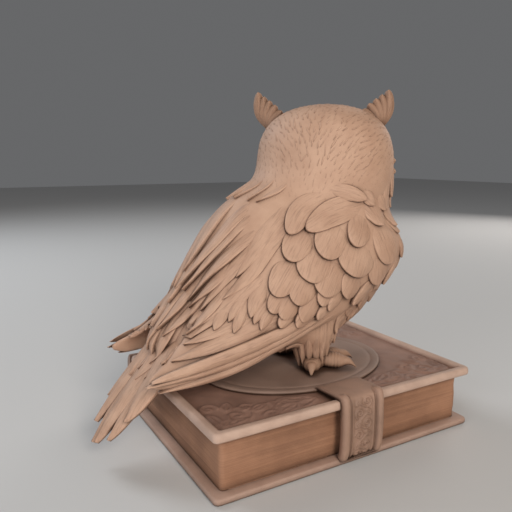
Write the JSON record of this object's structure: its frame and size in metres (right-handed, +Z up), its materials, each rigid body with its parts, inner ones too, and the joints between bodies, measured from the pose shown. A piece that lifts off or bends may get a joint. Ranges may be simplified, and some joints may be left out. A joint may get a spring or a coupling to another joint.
{
  "type": "owl figurine",
  "caption": "Perched owl statuette with folded wings and its head turned to one side, standing on a closed clasped book that forms the base.",
  "frame": {"origin": "centre of the book's flat underside, on the surface that the figurine stands on", "axes": "+Z up; the owl's breast faces -Y and its tail overhangs the book towards +Y; +X is the owl's left side and the book's spine, -X the fore-edge with its clasp strap"},
  "size_m": [0.135, 0.2097, 0.1998],
  "materials": {
    "owl_resin": "matt fine-grained tan cast resin with darker recesses",
    "foot_resin": "matt cast resin, slightly darker and smoother than the feathers",
    "eye_resin": "satin cast resin",
    "book_cover_resin": "matt leather-like brown cast resin",
    "medallion_resin": "matt brown-grey cast resin with low relief",
    "strap_resin": "matt brown cast resin with scroll relief",
    "page_resin": "matt warm tan cast resin with fine page lines",
    "pin_steel": "plain drawn steel pin",
    "dowel_wood": "plain beech dowel"
  },
  "bodies": {
    "root": {"back_cover": "book_cover_resin", "front_cover": "book_cover_resin", "spine": "book_cover_resin", "page_block": "page_resin", "cover_medallion": "medallion_resin", "clasp_strap": "strap_resin", "torso": "owl_resin", "head": "owl_resin", "beak": "foot_resin", "eye_left": "eye_resin", "eye_right": "eye_resin", "ear_tuft_left": "owl_resin", "ear_tuft_right": "owl_resin", "wing_left": "owl_resin", "wing_right": "owl_resin", "tail": "owl_resin", "leg_left": "owl_resin", "leg_right": "owl_resin", "foot_left": "foot_resin", "foot_right": "foot_resin", "leg_pin_left": "pin_steel", "leg_pin_right": "pin_steel", "neck_dowel": "dowel_wood", "wing_peg_left": "dowel_wood", "wing_peg_right": "dowel_wood", "tail_peg": "dowel_wood"}
  },
  "joints": []
}
